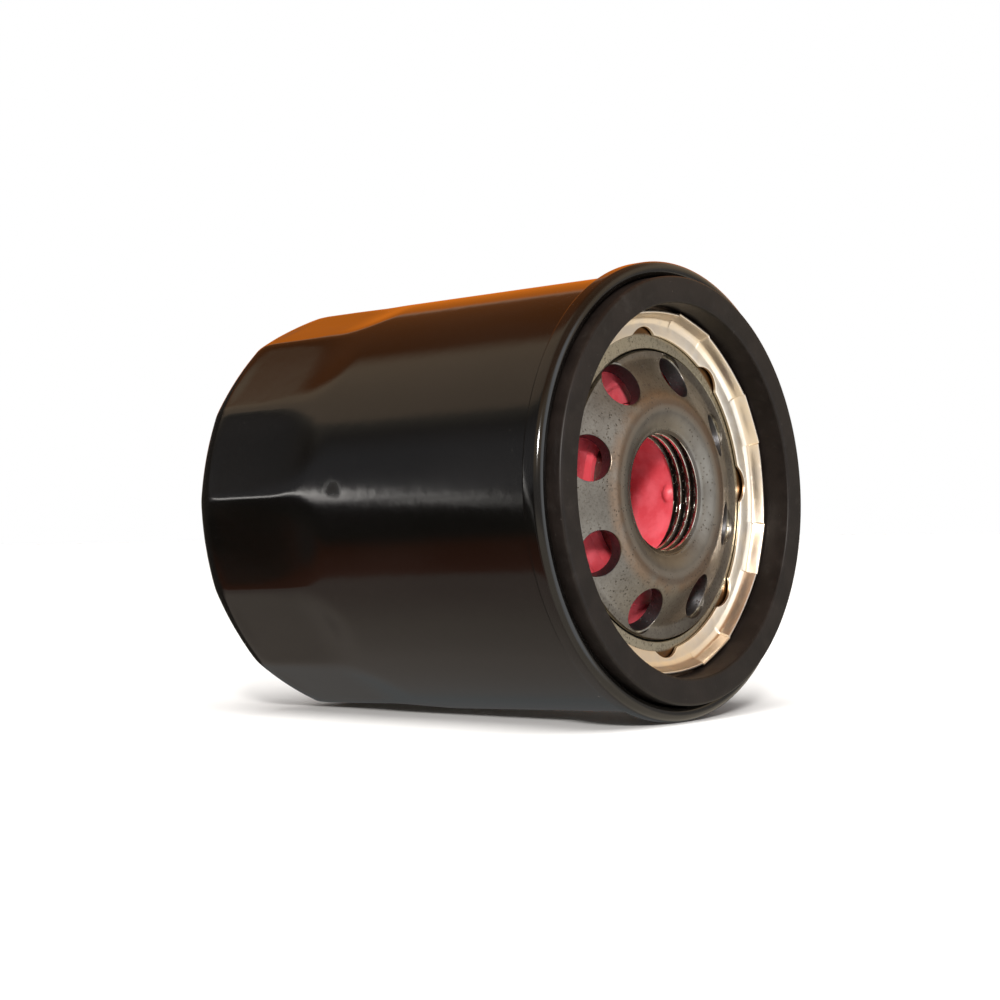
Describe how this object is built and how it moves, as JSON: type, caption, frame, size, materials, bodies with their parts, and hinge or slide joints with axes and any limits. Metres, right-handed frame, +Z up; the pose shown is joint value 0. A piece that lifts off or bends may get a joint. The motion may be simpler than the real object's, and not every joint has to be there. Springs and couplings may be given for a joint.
{
  "type": "spin-on oil filter",
  "caption": "Small-engine spin-on oil filter: black drawn-steel can with wrench flats, seamed lid, rubber gasket, threaded inlet plate, red anti-drain valve and a sprung paper element.",
  "frame": {"origin": "centre of the closed end's outer face, on the filter's axis", "axes": "+X along the filter's axis from the closed end to the gasket and thread, +Z up with the filter lying on its side, one wrench flat facing 3 degrees off -Z"},
  "size_m": [0.0732, 0.0684, 0.0684],
  "materials": {
    "black_paint": "gloss black baked paint on drawn steel",
    "tinplate": "tin-plated sheet steel, champagne tint",
    "plate_steel": "bare pressed steel, oiled, finely speckled",
    "nitrile_rubber": "satin black rubber with an oil film",
    "red_silicone": "satin red silicone",
    "bright_steel": "bright pressed sheet steel",
    "spring_steel": "drawn spring wire",
    "adhesive": "cured brown plastisol",
    "filter_paper": "resin-cured pleated filter paper"
  },
  "bodies": {
    "housing": {"housing_can": "black_paint", "seaming_lid": "tinplate", "tapping_plate": "plate_steel", "sealing_gasket": "nitrile_rubber", "anti_drain_valve": "red_silicone", "spring_cup": "bright_steel", "element_spring": "spring_steel"},
    "drain_lip": {"anti_drain_lip": "red_silicone"},
    "element": {"upper_end_cap": "bright_steel", "upper_bond": "adhesive", "pleated_media": "filter_paper", "media_seam_clip": "bright_steel", "centre_tube": "bright_steel", "lower_bond": "adhesive", "lower_end_cap": "bright_steel", "relief_cage": "bright_steel", "relief_spring": "spring_steel"},
    "relief_plunger": {"relief_poppet": "bright_steel", "relief_seal": "nitrile_rubber"}
  },
  "joints": [
    {"name": "drain_lip_lift", "type": "slide", "parent": "housing", "child": "drain_lip", "axis": [-1, 0, 0], "range_m": [0, 0.0015], "stiffness_N_per_m": 400, "springref_m": -0.001},
    {"name": "element_float", "type": "slide", "parent": "housing", "child": "element", "axis": [-1, 0, 0], "range_m": [0, 0.0015], "stiffness_N_per_m": 3000, "springref_m": -0.006, "deforming": ["element_spring"]},
    {"name": "relief_lift", "type": "slide", "parent": "element", "child": "relief_plunger", "axis": [1, 0, 0], "range_m": [0, 0.0025], "stiffness_N_per_m": 1500, "springref_m": -0.004, "deforming": ["relief_spring"]}
  ]
}
